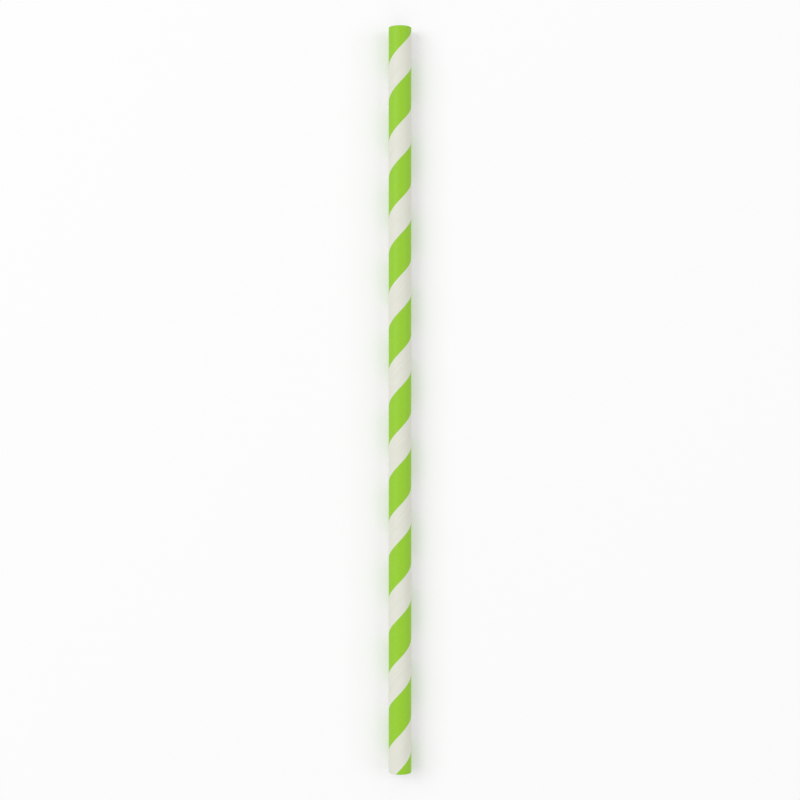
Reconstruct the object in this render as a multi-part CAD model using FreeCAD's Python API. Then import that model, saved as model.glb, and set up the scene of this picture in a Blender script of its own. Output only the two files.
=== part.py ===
# Striped paper drinking straw, lying on its side.
# One strip of printed paper is wound and glued into a straight round tube, with both ends cut square.
# The strip's edges meet in the middle of its white stripe, which leaves a fine helical groove outside.
# The green stripe's edges divide the outside of the one solid into green faces and white faces.
# Frame in millimetres: the straw's axis runs along Y, Z is up and the origin lies under the middle
# of the straw, on the surface that it rests on.
import FreeCAD
import Part
import math
import os

# Tube
length = 197.0
outer_diameter = 6.0
wall = 0.39

# Winding: how far the paper climbs in one turn, and how far the first seam lies below the top end
# (the +Y end), both measured along the axis on the upper side of the lying straw
turn_advance = 20.1
first_seam_below_top = 10.25

# Print: the green stripe's extent along the axis. The rest of each turn stays white.
green_advance = 10.85

# Seam of the outer paper, measured across the strip: the gap between its edges at the surface and
# at its floor, and its depth
seam_width = 0.3
seam_floor = 0.12
seam_depth = 0.05

# What only the making needs: how far a tool stands clear, and how many degrees a rod is turned, so
# that the line where its round face closes is away from the side where the sweeps start
tool_clearance = 1.0
rod_turn = 137.0

outer_radius = outer_diameter / 2
bore_radius = outer_radius - wall
climb_angle = math.atan(turn_advance / (math.pi * outer_diameter))
turns = math.ceil(length / turn_advance)

UP = FreeCAD.Vector(0, 0, 1)


def along_axis(across):
    """A width across the wound strip, as it measures along the straw's axis."""
    return across / math.cos(climb_angle)


def rod(radius, start, end):
    """A solid round bar about the upright axis, from one height to another."""
    bar = Part.makeCylinder(radius, end - start, FreeCAD.Vector(0, 0, start), UP)
    bar.rotate(FreeCAD.Vector(0, 0, 0), UP, rod_turn)
    return bar


def wound(section, closed):
    """Sweeps a section, given as (radius, height beside the seam), along the whole winding.

    The sweep starts a turn below the tube and ends a turn above it, so that it covers both ends.
    """
    start = length - first_seam_below_top - (turns + 1) * turn_advance
    path = Part.makeHelix(turn_advance, (turns + 2) * turn_advance, outer_radius)
    path.translate(FreeCAD.Vector(0, 0, start))
    points = [FreeCAD.Vector(radius, 0, start + height) for radius, height in section]
    if closed:
        points.append(points[0])
    sweep = Part.BRepOffsetAPI.MakePipeShell(Part.Wire(path.Edges))
    sweep.setFrenetMode(True)
    sweep.add(Part.makePolygon(points))
    sweep.build()
    if closed:
        sweep.makeSolid()
    return sweep.shape()


def seam_gap():
    """The groove where the paper's edges meet, with its flanks carried on clear of the surface."""
    floor_half = seam_floor / 2
    clear_half = seam_width - floor_half
    section = [
        (outer_radius - seam_depth, -along_axis(floor_half)),
        (outer_radius + seam_depth, -along_axis(clear_half)),
        (outer_radius + seam_depth, along_axis(clear_half)),
        (outer_radius - seam_depth, along_axis(floor_half)),
    ]
    return wound(section, closed=True)


def stripe_edge(height):
    """A thin ribbon that crosses the outer face along one edge of the green stripe."""
    section = [
        (outer_radius - seam_depth, height),
        (outer_radius + seam_depth, height),
    ]
    return wound(section, closed=False)


def wound_tube():
    """The tube with its seam, standing on its lower end at the origin.

    The seam is cut in a bar that is longer than the winding, which is then cut off square and bored.
    """
    paper = rod(outer_radius, -2 * turn_advance, length + 2 * turn_advance).cut(seam_gap())
    paper = paper.common(rod(outer_radius + tool_clearance, 0, length))
    return paper.cut(rod(bore_radius, -tool_clearance, length + tool_clearance))


def with_printed_stripe(tube):
    """Divides the outer face of the tube along both edges of the green stripe."""
    white_half = (turn_advance - green_advance) / 2
    edges = [stripe_edge(white_half), stripe_edge(turn_advance - white_half)]
    pieces, _ = tube.Solids[0].generalFuse(edges)
    return pieces.Solids[0]


def laid_down(straw):
    """Turns the standing straw onto its side along Y, resting on the plane at height 0.

    The seam is swept from the +X side, so the straw is first turned to bring that side uppermost.
    """
    straw.rotate(FreeCAD.Vector(0, 0, 0), UP, -90)
    straw.rotate(FreeCAD.Vector(0, 0, 0), FreeCAD.Vector(1, 0, 0), -90)
    straw.translate(FreeCAD.Vector(0, -length / 2, outer_radius))
    return straw


def main():
    os.makedirs("parts", exist_ok=True)
    straw = laid_down(with_printed_stripe(wound_tube()))
    straw.exportStep("parts/straw_tube.step")


main()
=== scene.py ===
import math

import bpy
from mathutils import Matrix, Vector, noise


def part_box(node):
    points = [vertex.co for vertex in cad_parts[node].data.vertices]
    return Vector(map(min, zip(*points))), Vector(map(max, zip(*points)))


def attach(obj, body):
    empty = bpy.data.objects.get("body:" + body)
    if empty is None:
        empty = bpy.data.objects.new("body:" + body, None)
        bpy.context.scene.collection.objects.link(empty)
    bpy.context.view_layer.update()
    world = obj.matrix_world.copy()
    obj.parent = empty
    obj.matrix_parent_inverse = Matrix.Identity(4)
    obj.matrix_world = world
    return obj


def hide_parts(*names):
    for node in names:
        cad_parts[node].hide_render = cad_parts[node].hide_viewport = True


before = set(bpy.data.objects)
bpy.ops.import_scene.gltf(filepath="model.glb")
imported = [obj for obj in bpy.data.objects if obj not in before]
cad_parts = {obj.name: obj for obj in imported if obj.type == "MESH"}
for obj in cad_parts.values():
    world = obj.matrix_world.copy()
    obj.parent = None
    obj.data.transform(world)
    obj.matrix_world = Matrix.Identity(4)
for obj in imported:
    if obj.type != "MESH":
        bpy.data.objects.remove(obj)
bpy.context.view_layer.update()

# Lengths on the straw are in millimetres; the floor, the lamps and the camera are placed in metres
MM = 0.001
TURN = 2 * math.pi

# Size and place of the straw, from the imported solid, and the thickness of its wall
node_low, node_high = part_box("straw_tube")
outer_radius = (node_high.x - node_low.x) / 2 / MM
axis_height = (node_high.z + node_low.z) / 2 / MM
end_low = node_low.y / MM
end_high = node_high.y / MM
wall = 0.39
bore_radius = outer_radius - wall

# The wall is wound from plies of equal thickness
plies = 3

# Winding: the paper's advance for each turn, and where the first seam crosses the upper side
advance = 20.1
first_seam_below_top = 10.25
first_seam = end_high - first_seam_below_top
climb = math.atan(advance / (TURN * outer_radius))
turns_below = math.ceil((end_high - end_low) / advance) + 1

# Print: half of the white stripe, which has the seam in its middle, measured along the axis
white_half = 4.625

# Seam of the outer paper, measured across the strip from its middle: where its floor ends, where
# its flanks reach the surface, and where the raised lips beside it end
seam_floor = 0.06
seam_edge = 0.15
lip_end = 0.75

# Depth of the seam where it is tight and where it is open, and the height of its two lips
tight_depth = 0.012
open_depth = 0.042
upper_lip = 0.014
lower_lip = 0.006

# A ply's edge under the outer paper shows as a fine raised line beside the seam: its distance from
# the seam and half its width, measured across the strip, and its height
raised_line = 0.85
raised_half = 0.15
raised_height = 0.01

# Low ridges over the edges of the inner plies, which lie an equal share of a turn apart: half the
# width and the height of each
inner_ridges = ((0.5, 0.006), (0.4, 0.004))

# Seam of the inner ply, in the bore: its place as a share of a turn, the distances from its middle
# to the end of its floor, the middle of a flank and its edge, and its depth
bore_seam = 0.4
bore_seam_steps = (0.1, 0.17, 0.24)
bore_seam_depth = 0.045

# Fineness of the mesh: columns around the straw, and rows along one turn, outside and in the bore.
# A row that comes closer to an end than snap ends there.
columns = 144
outer_rows = 34
bore_rows = 8
snap = 0.02

# Slots of the four materials in the mesh
white_slot, green_slot, bore_slot, cut_slot = range(4)

# Flat layout of the whole surface, for baking: the outside and the bore are unrolled in bands side
# by side, and the two cut ends lie above the bore. Each is drawn to its own scale.
bands = 3
band_gap = 1.2
band_length = (end_high - end_low) / bands
outer_width = TURN * outer_radius
bore_share = 0.5
bore_width = TURN * bore_radius * bore_share
bore_left = bands * (outer_width + band_gap)
end_share = 2.1
end_low_edge = band_length * bore_share + 2 * band_gap
layout_size = (bore_left + bands * (bore_width + band_gap), band_length + 2 * band_gap)


def across(width):
    """A width across the wound strip, as it measures along the axis."""
    return width / math.cos(climb)


def smooth_step(low, high, value):
    """0 below low and 1 above high, with a smooth rise between them."""
    share = min(max((value - low) / (high - low), 0.0), 1.0)
    return share * share * (3 - 2 * share)


def wander(along, scale, seed):
    """Smooth noise from about -1 to 1 along a line."""
    return noise.noise(Vector((along / scale, seed, 0.5 * seed)))


def ring_point(radius, angle, height):
    """A point of the straw in metres: angle 0 is the upper side, a quarter turn is +X."""
    return (
        radius * math.sin(angle) * MM,
        height * MM,
        (axis_height + radius * math.cos(angle)) * MM,
    )


def from_seam(offset):
    """The signed distance along the axis from the nearest seam."""
    return (offset + advance / 2) % advance - advance / 2


def ridge(distance, half_width, height):
    """A low rounded ridge, as the edge of an inner ply makes in the ply above it."""
    return height * (1 - smooth_step(0, half_width, abs(distance)))


def outer_relief(offset, along):
    """How far the outside stands proud of its nominal radius.

    The seam is tight in some places and open in others, so its groove comes and goes.
    """
    gap = from_seam(offset)
    floor_half = across(seam_floor)
    edge_half = across(seam_edge) + 0.02 * wander(along, scale=9, seed=3)
    flank = smooth_step(floor_half, edge_half, abs(gap))
    open_share = smooth_step(-0.35, 0.4, wander(along, scale=7, seed=71))
    depth = (tight_depth + (open_depth - tight_depth) * open_share) * (1 - flank)
    lip_height = upper_lip if gap > 0 else lower_lip
    lip = lip_height * (1 - smooth_step(edge_half, across(lip_end), abs(gap))) * flank
    relief = lip - depth
    line_height = raised_height * smooth_step(-0.35, 0.35, wander(along, scale=6, seed=23))
    relief += ridge(gap - across(raised_line), across(raised_half), line_height)
    for ply, (half_width, height) in enumerate(inner_ridges, start=1):
        relief += ridge(from_seam(offset - ply * advance / plies), across(half_width), height)
    relief += 0.004 * wander(along, scale=14, seed=11)
    relief += 0.002 * wander(along + 7 * offset, scale=2.3, seed=5)
    return relief


def bore_relief(offset, along):
    """How far the bore stands back from its nominal radius, with the inner ply's own seam."""
    gap = from_seam(offset - bore_seam * advance)
    floor_half, _, edge_half = (across(step) for step in bore_seam_steps)
    depth = bore_seam_depth * (1 - smooth_step(floor_half, edge_half, abs(gap)))
    return depth + 0.005 * wander(along, scale=6, seed=17)


def out_of_round(angle, height):
    """The slight oval of a paper tube, with a fainter three-sided form, both turning along it."""
    oval = 0.008 * math.cos(2 * angle + height / 60)
    three_sided = 0.003 * math.cos(3 * angle - height / 35)
    return oval + three_sided


def print_waver(offset, along):
    """How far the edge of the print strays from its line, in slow waves and quick ones."""
    slow = 0.035 * wander(along, scale=4.0, seed=31 + offset)
    quick = 0.02 * wander(along, scale=0.9, seed=47 + offset)
    return slow + quick


def row_offsets(rows, features):
    """Rows along one turn: even ones, less those close to a feature, and the features."""
    even = [advance * row / rows for row in range(rows)]
    near = advance / rows * 0.45
    kept = [row for row in even if all(abs(from_seam(row - f)) > near for f in features)]
    return sorted(kept + [feature % advance for feature in features])


def seam_features():
    """Rows that shape the seam, with its floor, its flanks and its lips, and the line beside it."""
    on_flank = (seam_floor + seam_edge) / 2
    on_lip = (0.22, 0.36)
    widths = (seam_floor, on_flank, seam_edge, *on_lip)
    rows = [side * across(width) for width in widths for side in (-1, 1)]
    line = (raised_line - raised_half, raised_line, raised_line + raised_half)
    return rows + [across(place) for place in (-lip_end, *line)]


def bore_seam_features():
    """Rows that shape the inner ply's seam."""
    middle = bore_seam * advance
    return [middle + side * across(step) for step in bore_seam_steps for side in (-1, 1)]


def on_layout(x, y):
    """A place on the flat layout, as a share of its size."""
    return (x + band_gap / 2) / layout_size[0], (y + band_gap) / layout_size[1]


class Skin:
    """A surface under construction: each face has a material slot and two flat places a corner.

    The first is the place on the wound strip, which the materials use. The second is the place on
    the flat layout.
    """

    def __init__(self):
        self.points = []
        self.faces = []
        self.strip = []
        self.layout = []
        self.slots = []

    def add_point(self, point):
        """Keeps a point and returns its number."""
        self.points.append(point)
        return len(self.points) - 1

    def add_face(self, corners, strip, layout, slot):
        """Keeps a face, given by its points' numbers."""
        self.faces.append(corners)
        self.strip.append(strip)
        self.layout.append(layout)
        self.slots.append(slot)


def wound_surface(skin, offsets, radius_of, print_edges, flip, slot_of, unrolled):
    """Adds a tube of helical rows to a skin, and returns its two end rings.

    Rows climb with the strip, so that the seam and the print's edges follow them. A row that
    passes an end stops there. flip makes the faces look inwards. unrolled holds the left edge of
    the surface on the flat layout, the width of one band and the scale along the axis.
    """
    left, width, share = unrolled
    count = len(offsets)
    total = count * (turns_below + 2)
    index = {}

    def place(row, column):
        turn, kind = divmod(row, count)
        offset = offsets[kind]
        angle = TURN * column / columns
        winding = angle + TURN * turn
        along = winding * outer_radius / math.cos(climb)
        height = first_seam - advance * turns_below + advance * winding / TURN + offset
        if offset in print_edges:
            height += print_waver(offset, along)
        return angle, along, offset, height

    def vertex(row, column):
        if column == columns:
            row, column = row + count, 0
        angle, along, offset, height = place(row, column)
        if height > end_high - snap:
            key, height = ("high", column), end_high
        elif height < end_low + snap:
            key, height = ("low", column), end_low
        else:
            key = (row, column)
        if key not in index:
            radius = radius_of(angle, height, offset, along)
            index[key] = skin.add_point(ring_point(radius, angle, height))
        return index[key]

    def strip_place(row, column):
        _, along, offset, height = place(row, column)
        offset += min(max(height, end_low), end_high) - height
        return along + offset * math.sin(climb), offset * math.cos(climb)

    def flat_places(corners):
        heights = [min(max(place(*corner)[3], end_low), end_high) - end_low for corner in corners]
        band = min(int(sum(heights) / len(heights) / band_length), bands - 1)
        places = []
        for (_, column), height in zip(corners, heights):
            turned = 1 - column / columns if flip else column / columns
            x = left + band * (width + band_gap) + width * turned
            places.append(on_layout(x, (height - band * band_length) * share))
        return places

    for row in range(-count, total):
        low_offset = offsets[row % count]
        row_height = (offsets[(row + 1) % count] - low_offset) % advance
        slot = slot_of(low_offset + row_height / 2)
        for column in range(columns):
            corners = [(row, column), (row, column + 1), (row + 1, column + 1), (row + 1, column)]
            if flip:
                corners.reverse()
            used = {}
            for corner in corners:
                used.setdefault(vertex(*corner), corner)
            if len(used) < 3:
                continue
            strip = [strip_place(*corner) for corner in used.values()]
            skin.add_face(list(used), strip, flat_places(list(used.values())), slot)
    rings = []
    for end in ("low", "high"):
        rings.append([index[(end, column)] for column in range(columns)])
    return rings


def cut_end(skin, outer_ring, bore_ring, height, outward):
    """Closes one end between the outside and the bore, with the plies showing in the cut."""
    # Share of the wall from the outside, and how far the cut stands out there
    steps = (
        (0.05, -0.004), (0.29, 0.004), (0.333, -0.022), (0.375, 0.003),
        (0.62, 0.004), (0.667, -0.022), (0.71, 0.002), (0.95, -0.003),
    )
    middle = bore_left + (bands * (bore_width + band_gap) - band_gap) / 2
    middle += outward * (outer_radius * end_share + band_gap / 2)

    def flat_place(point):
        x, _, z = skin.points[point]
        right = middle - outward * x / MM * end_share
        up = end_low_edge + (outer_radius + z / MM - axis_height) * end_share
        return on_layout(right, up)

    rings = [outer_ring]
    for step, (share, proud) in enumerate(steps):
        ring = []
        for column in range(columns):
            out = Vector(skin.points[outer_ring[column]])
            inner = Vector(skin.points[bore_ring[column]])
            point = out.lerp(inner, share)
            rough = 0.007 * wander(column, scale=2.5, seed=60 + 10 * step + height)
            point.y = (height + outward * (proud + rough)) * MM
            ring.append(skin.add_point(tuple(point)))
        rings.append(ring)
    rings.append(bore_ring)
    for first, second in zip(rings, rings[1:]):
        for column in range(columns):
            after = (column + 1) % columns
            face = [first[column], first[after], second[after], second[column]]
            if outward < 0:
                face.reverse()
            strip = [(0.0, 0.0)] * len(face)
            skin.add_face(face, strip, [flat_place(point) for point in face], cut_slot)


def straw_skin():
    """The straw as one closed surface: outside, bore and both cut ends."""
    skin = Skin()
    edges = [white_half, advance - white_half]

    def outer_radius_at(angle, height, offset, along):
        return outer_radius + out_of_round(angle, height) + outer_relief(offset, along)

    def bore_radius_at(angle, height, offset, along):
        return bore_radius + out_of_round(angle, height) + bore_relief(offset, along)

    def print_slot(offset):
        return white_slot if abs(from_seam(offset)) < white_half else green_slot

    outer_low, outer_high = wound_surface(
        skin, row_offsets(outer_rows, seam_features() + edges), outer_radius_at,
        {edge % advance for edge in edges}, False, print_slot, (0.0, outer_width, 1.0),
    )
    bore_low, bore_high = wound_surface(
        skin, row_offsets(bore_rows, bore_seam_features()), bore_radius_at,
        set(), True, lambda offset: bore_slot, (bore_left, bore_width, bore_share),
    )
    cut_end(skin, outer_low, bore_low, end_low, -1)
    cut_end(skin, outer_high, bore_high, end_high, 1)
    return skin


def build_straw(materials):
    """The straw's piece, with its materials in the order of their slots."""
    skin = straw_skin()
    data = bpy.data.meshes.new("paper_straw")
    data.from_pydata(skin.points, [], skin.faces)
    for name, kept in (("strip", skin.strip), ("OFBake", skin.layout)):
        flat = [value for places in kept for place in places for value in place]
        data.uv_layers.new(name=name).uv.foreach_set("vector", flat)
    for material in materials:
        data.materials.append(material)
    data.polygons.foreach_set("material_index", skin.slots)
    data.polygons.foreach_set("use_smooth", [True] * len(skin.faces))
    data.validate()
    data.update()
    data.set_sharp_from_angle(angle=math.radians(50))
    straw = bpy.data.objects.new("paper_straw", data)
    bpy.context.scene.collection.objects.link(straw)
    return straw


def linear(red, green, blue):
    """A colour as it is seen, 0 to 255, in the numbers that a shader takes."""
    def one(value):
        value /= 255
        return value / 12.92 if value <= 0.04045 else ((value + 0.055) / 1.055) ** 2.4
    return one(red), one(green), one(blue), 1.0


class NodeTree:
    """The nodes of a material or a world under construction: adds nodes and links them."""

    def __init__(self, owner):
        owner.use_nodes = True
        self.nodes = owner.node_tree.nodes
        self.links = owner.node_tree.links
        self.nodes.clear()

    def add(self, kind, values=None, **settings):
        """A node with its settings, and a value or an incoming link for each named input."""
        node = self.nodes.new(kind)
        for name, value in settings.items():
            setattr(node, name, value)
        for name, value in (values or {}).items():
            self.feed(node, name, value)
        return node

    def feed(self, node, name, value):
        """Sets an input, or links it where the value is another node's output."""
        if isinstance(value, bpy.types.NodeSocket):
            self.links.new(value, node.inputs[name])
        else:
            node.inputs[name].default_value = value

    def between(self, share, from_low, from_high, to_low, to_high, curve="LINEAR"):
        """Maps one range to another, held at its ends."""
        values = {
            "Value": share, "From Min": from_low, "From Max": from_high,
            "To Min": to_low, "To Max": to_high,
        }
        return self.add("ShaderNodeMapRange", values, interpolation_type=curve).outputs["Result"]

    def combined(self, operation, *values):
        """The result of a sum on values."""
        return self.worked("ShaderNodeMath", operation, values).outputs["Value"]

    def worked(self, kind, operation, values):
        """A node that works out an operation on its inputs, in their order."""
        node = self.add(kind, operation=operation)
        for place, value in enumerate(values):
            self.feed(node, place, value)
        return node

    def camera_share(self):
        """1 where the camera sees the surface, directly or in gloss and glass."""
        path = self.add("ShaderNodeLightPath").outputs
        seen = self.combined("MAXIMUM", path["Is Camera Ray"], path["Is Glossy Ray"])
        return self.combined("MAXIMUM", seen, path["Is Transmission Ray"])


class Shader(NodeTree):
    """A material of the straw under construction, with one surface shader."""

    def __init__(self, name):
        self.material = bpy.data.materials.new(name)
        super().__init__(self.material)
        self.surface = self.add("ShaderNodeBsdfPrincipled")
        self.add("ShaderNodeOutputMaterial", {"Surface": self.surface.outputs["BSDF"]})

    def set(self, name, value):
        """Sets or links an input of the surface shader."""
        self.feed(self.surface, name, value)

    def strip_place(self):
        """Millimetres along the paper strip, and across it."""
        return self.add("ShaderNodeUVMap", uv_map="strip").outputs["UV"]

    def object_place(self):
        """The place in the straw, in millimetres."""
        place = self.add("ShaderNodeTexCoord").outputs["Object"]
        return self.scaled(place, (1 / MM, 1 / MM, 1 / MM))

    def scaled(self, place, scale):
        """A place stretched by a factor for each axis."""
        return self.add("ShaderNodeMapping", {"Vector": place, "Scale": scale}).outputs["Vector"]

    def noise(self, place, scale, detail=3.0, roughness=0.55):
        """Noise from 0 to 1."""
        values = {"Vector": place, "Scale": scale, "Detail": detail, "Roughness": roughness}
        return self.add("ShaderNodeTexNoise", values).outputs["Fac"]

    def mixed(self, share, first, second):
        """A blend of two colours."""
        node = self.add("ShaderNodeMix", data_type="RGBA")
        # The node repeats its sockets' names for each type of data, so the colours' go by number
        self.feed(node, 0, share)
        self.feed(node, 6, first)
        self.feed(node, 7, second)
        return node.outputs[2]

    def bump(self, layers):
        """Adds fine relief to the surface: pairs of a height from 0 to 1 and its depth in mm."""
        normal = None
        for height, depth in layers:
            values = {"Height": height, "Distance": depth * MM, "Strength": 1.0}
            if normal is not None:
                values["Normal"] = normal
            normal = self.add("ShaderNodeBump", values).outputs["Normal"]
        self.set("Normal", normal)


def paper_relief(shader, place, fibre_depth):
    """The relief that all of the outer paper has: fine fibres and faint streaks along the strip."""
    fibres = shader.noise(shader.scaled(place, (2.4, 9.0, 1.0)), 1.0, detail=4.0)
    grain = shader.noise(shader.scaled(place, (9.0, 14.0, 1.0)), 1.0, detail=2.0)
    streaks = shader.noise(shader.scaled(place, (0.12, 2.6, 1.0)), 1.0, detail=3.0)
    return fibres, streaks, [(fibres, fibre_depth), (grain, 0.0012), (streaks, 0.009)]


def seam_line(shader, place, middle, half_width, seed):
    """0 to 1 on a fine line beside the seam, which fades and comes back along the strip."""
    parts = shader.add("ShaderNodeSeparateXYZ", {"Vector": place})
    strip_half = advance * math.cos(climb) / 2
    beside = shader.combined("WRAP", parts.outputs["Y"], strip_half, -strip_half)
    distance = shader.combined("ABSOLUTE", shader.combined("SUBTRACT", beside, middle))
    line = shader.between(distance, 0.0, half_width, 1.0, 0.0)
    moved = shader.worked("ShaderNodeVectorMath", "ADD", (place, (seed, seed, seed)))
    fading = shader.noise(shader.scaled(moved.outputs["Vector"], (0.16, 0.3, 1.0)), 1.0, detail=2.0)
    return shader.combined("MULTIPLY", line, shader.between(fading, 0.4, 0.6, 0.0, 1.0))


def white_paper():
    """The unprinted stripe: coated white paper, with faint fibres and streaks along the strip, and
    painted highlight and shade lines beside the seam.
    """
    shader = Shader("white_paper")
    place = shader.strip_place()
    fibres, streaks, relief = paper_relief(shader, place, 0.0035)
    cloud = shader.noise(shader.scaled(place, (0.35, 0.6, 1.0)), 1.0, detail=3.0)
    tone = shader.combined("MULTIPLY", shader.between(fibres, 0.3, 0.7, 0.0, 1.0), 0.5)
    tone = shader.combined("ADD", tone, shader.between(streaks, 0.35, 0.7, 0.0, 0.5))
    paper = shader.mixed(tone, linear(224, 224, 211), linear(230, 230, 219))
    paper = shader.mixed(shader.between(cloud, 0.3, 0.7, 0.0, 0.4), paper, linear(220, 220, 207))
    # The raised line is painted paler as a highlight, with a line of painted shade beyond it and
    # another across the seam
    ridge_and_highlight = seam_line(shader, place, raised_line, raised_half, seed=3.0)
    painted_shade_line = seam_line(shader, place, raised_line + 0.25, raised_half, seed=3.0)
    painted_seam_shade = seam_line(shader, place, -0.38, 0.12, seed=40.0)
    # Painted shade: a duller white for the shade lines beside the raised line and the seam
    shade_white = linear(196, 196, 184)
    # Painted shade line just beyond the raised line
    paper = shader.mixed(shader.combined("MULTIPLY", painted_shade_line, 0.3), paper, shade_white)
    # Painted shade line on the other side of the seam, where its flank lies in shade
    paper = shader.mixed(shader.combined("MULTIPLY", painted_seam_shade, 0.28), paper, shade_white)
    # Painted highlight: the raised line is made paler; the same mask also lifts it in the bump
    # below
    paper = shader.mixed(shader.combined("MULTIPLY", ridge_and_highlight, 0.6), paper, linear(240, 240, 231))
    shader.set("Base Color", paper)
    shader.set("Roughness", shader.between(fibres, 0.25, 0.75, 0.5, 0.62))
    shader.set("Specular IOR Level", 0.34)
    shader.set("Sheen Weight", 0.04)
    shader.set("Sheen Roughness", 0.4)
    shader.bump(relief + [(ridge_and_highlight, 0.012)])
    return shader.material


def green_print():
    """The printed stripe: satin green ink, slightly mottled, thinner on the paper's high fibres."""
    shader = Shader("green_print")
    place = shader.strip_place()
    _, streaks, relief = paper_relief(shader, place, 0.0025)
    mottle = shader.noise(shader.scaled(place, (1.1, 1.4, 1.0)), 1.0, detail=5.0, roughness=0.6)
    specks = shader.noise(shader.scaled(place, (7.0, 9.0, 1.0)), 1.0, detail=1.0)
    mottle_share = shader.between(mottle, 0.3, 0.7, 0.0, 1.0)
    ink = shader.mixed(mottle_share, linear(144, 200, 29), linear(151, 205, 35))
    ink = shader.mixed(shader.between(streaks, 0.45, 0.8, 0.0, 0.35), ink, linear(140, 196, 27))
    ink = shader.mixed(shader.between(specks, 0.74, 0.82, 0.0, 0.35), ink, linear(190, 222, 140))
    shader.set("Base Color", ink)
    shader.set("Roughness", shader.between(mottle, 0.25, 0.75, 0.47, 0.57))
    shader.set("Specular IOR Level", 0.42)
    shader.bump(relief)
    return shader.material


def bore_paper():
    """The inner ply: plain uncoated paper, duller and rougher than the outside."""
    shader = Shader("bore_paper")
    place = shader.strip_place()
    fibres = shader.noise(shader.scaled(place, (3.0, 8.0, 1.0)), 1.0, detail=4.0)
    fibre_share = shader.between(fibres, 0.3, 0.7, 0.0, 1.0)
    paper = shader.mixed(fibre_share, linear(222, 220, 209), linear(232, 230, 221))
    shader.set("Base Color", paper)
    shader.set("Roughness", 0.85)
    shader.set("Specular IOR Level", 0.2)
    shader.bump([(fibres, 0.006)])
    return shader.material


def cut_paper():
    """The cut ends: raw fibres, with a thin darker line of glue between the plies."""
    shader = Shader("cut_paper")
    place = shader.object_place()
    axis = (0.0, 0.0, axis_height)
    from_axis = shader.worked("ShaderNodeVectorMath", "SUBTRACT", (place, axis)).outputs["Vector"]
    level = shader.worked("ShaderNodeVectorMath", "MULTIPLY", (from_axis, (1.0, 0.0, 1.0)))
    radius = shader.worked("ShaderNodeVectorMath", "LENGTH", (level.outputs["Vector"],))
    depth = shader.combined("SUBTRACT", outer_radius, radius.outputs["Value"])
    depth_in_plies = shader.combined("MULTIPLY", depth, plies / wall)
    nearest = 1.0
    for ply in range(1, plies):
        from_joint = shader.combined("SUBTRACT", depth_in_plies, float(ply))
        nearest = shader.combined("MINIMUM", nearest, shader.combined("ABSOLUTE", from_joint))
    fibres = shader.noise(place, 9.0, detail=4.0)
    fibre_share = shader.between(fibres, 0.3, 0.7, 0.0, 1.0)
    paper = shader.mixed(fibre_share, linear(226, 223, 211), linear(240, 238, 229))
    glue = shader.between(nearest, 0.03, 0.14, 0.6, 0.0)
    shader.set("Base Color", shader.mixed(glue, paper, linear(188, 184, 166)))
    shader.set("Roughness", 0.9)
    shader.set("Specular IOR Level", 0.15)
    shader.bump([(fibres, 0.012)])
    return shader.material


def floor_material():
    """A pale matt floor that the camera sees as white, and that keeps shadows.

    Where the lamps' light falls off, far from the straw, the floor's own white grows.
    """
    material = bpy.data.materials.new("pale_floor")
    tree = NodeTree(material)
    diffuse = tree.add("ShaderNodeBsdfDiffuse", {"Color": (0.8, 0.8, 0.8, 1.0)})
    place = tree.add("ShaderNodeTexCoord").outputs["Object"]
    distance = tree.worked("ShaderNodeVectorMath", "LENGTH", (place,)).outputs["Value"]
    level = tree.between(distance, 0.2, 2.4, 0.185, 0.5, curve="SMOOTHSTEP")
    strength = tree.combined("MULTIPLY", tree.camera_share(), level)
    glow = tree.add("ShaderNodeEmission", {"Strength": strength})
    both = tree.add("ShaderNodeAddShader")
    tree.feed(both, 0, diffuse.outputs["BSDF"])
    tree.feed(both, 1, glow.outputs["Emission"])
    tree.add("ShaderNodeOutputMaterial", {"Surface": both.outputs["Shader"]})
    return material


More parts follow.
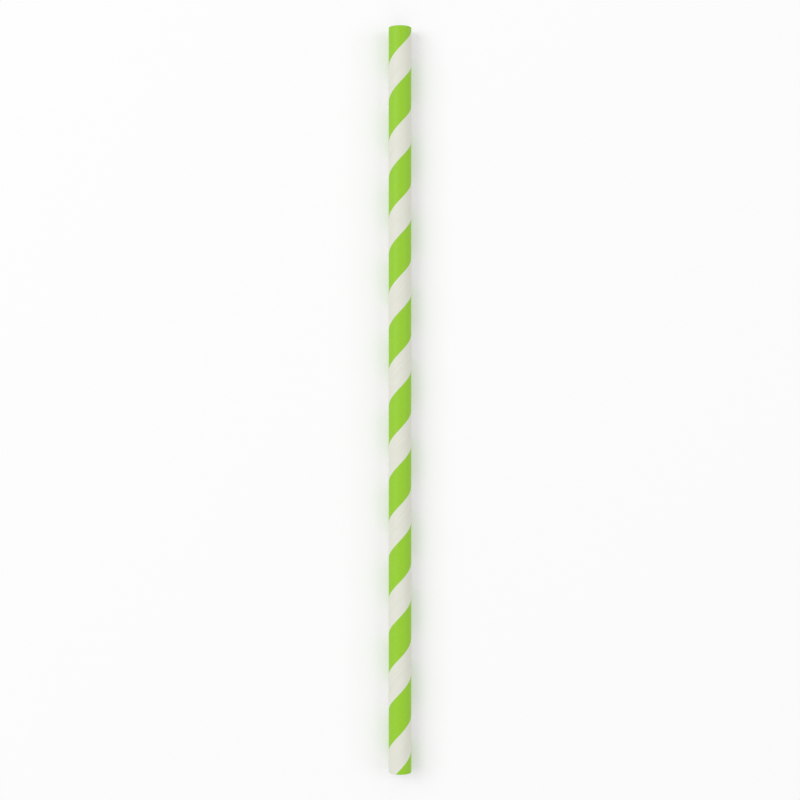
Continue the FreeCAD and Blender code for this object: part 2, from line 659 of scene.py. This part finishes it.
def build_floor():
    """The floor under the straw, lowered by about the reach of the paper's relief."""
    half = 3.0
    relief_reach = 0.02
    corners = [(-half, -half, 0), (half, -half, 0), (half, half, 0), (-half, half, 0)]
    data = bpy.data.meshes.new("floor")
    data.from_pydata(corners, [], [(0, 1, 2, 3)])
    data.materials.append(floor_material())
    floor = bpy.data.objects.new("floor", data)
    floor.location.z = -relief_reach * MM
    bpy.context.scene.collection.objects.link(floor)


def build_world(strength):
    """Even soft light from all around, which the camera sees as white."""
    world = bpy.data.worlds.new("studio")
    bpy.context.scene.world = world
    tree = NodeTree(world)
    level = tree.between(tree.camera_share(), 0.0, 1.0, strength, 1.0)
    white = (1.0, 1.0, 1.0, 1.0)
    background = tree.add("ShaderNodeBackground", {"Color": white, "Strength": level})
    tree.add("ShaderNodeOutputWorld", {"Surface": background.outputs["Background"]})


def build_lamp(name, place, size, power):
    """A square soft light that faces the middle of the straw."""
    light = bpy.data.lights.new(name, "AREA")
    light.size = size
    light.energy = power
    lamp = bpy.data.objects.new(name, light)
    lamp.location = place
    lamp.rotation_euler = (-Vector(place)).to_track_quat("-Z", "Y").to_euler()
    bpy.context.scene.collection.objects.link(lamp)


def build_camera():
    """Looks square to the straw's axis with +Y upwards, and takes in its whole length."""
    half_angle = math.radians(15)
    straw_share = 0.93
    half_view = (end_high - end_low) / 2 / straw_share * MM
    data = bpy.data.cameras.new("camera")
    data.sensor_width = 36
    data.lens = data.sensor_width / 2 / math.tan(half_angle)
    data.clip_start = 0.01
    data.clip_end = 10
    camera = bpy.data.objects.new("camera", data)
    camera.location = (0, 0, axis_height * MM + half_view / math.tan(half_angle))
    bpy.context.scene.collection.objects.link(camera)
    bpy.context.scene.camera = camera


build_camera()
build_floor()
build_world(strength=0.624)
build_lamp("key", place=(-1.5, 0.5, 1.55), size=1.5, power=20.0)
build_lamp("fill", place=(1.7, 0.2, 1.4), size=1.4, power=9.5)

straw = build_straw([white_paper(), green_print(), bore_paper(), cut_paper()])
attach(straw, "root")
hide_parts("straw_tube")

bpy.context.scene.view_settings.view_transform = "Standard"
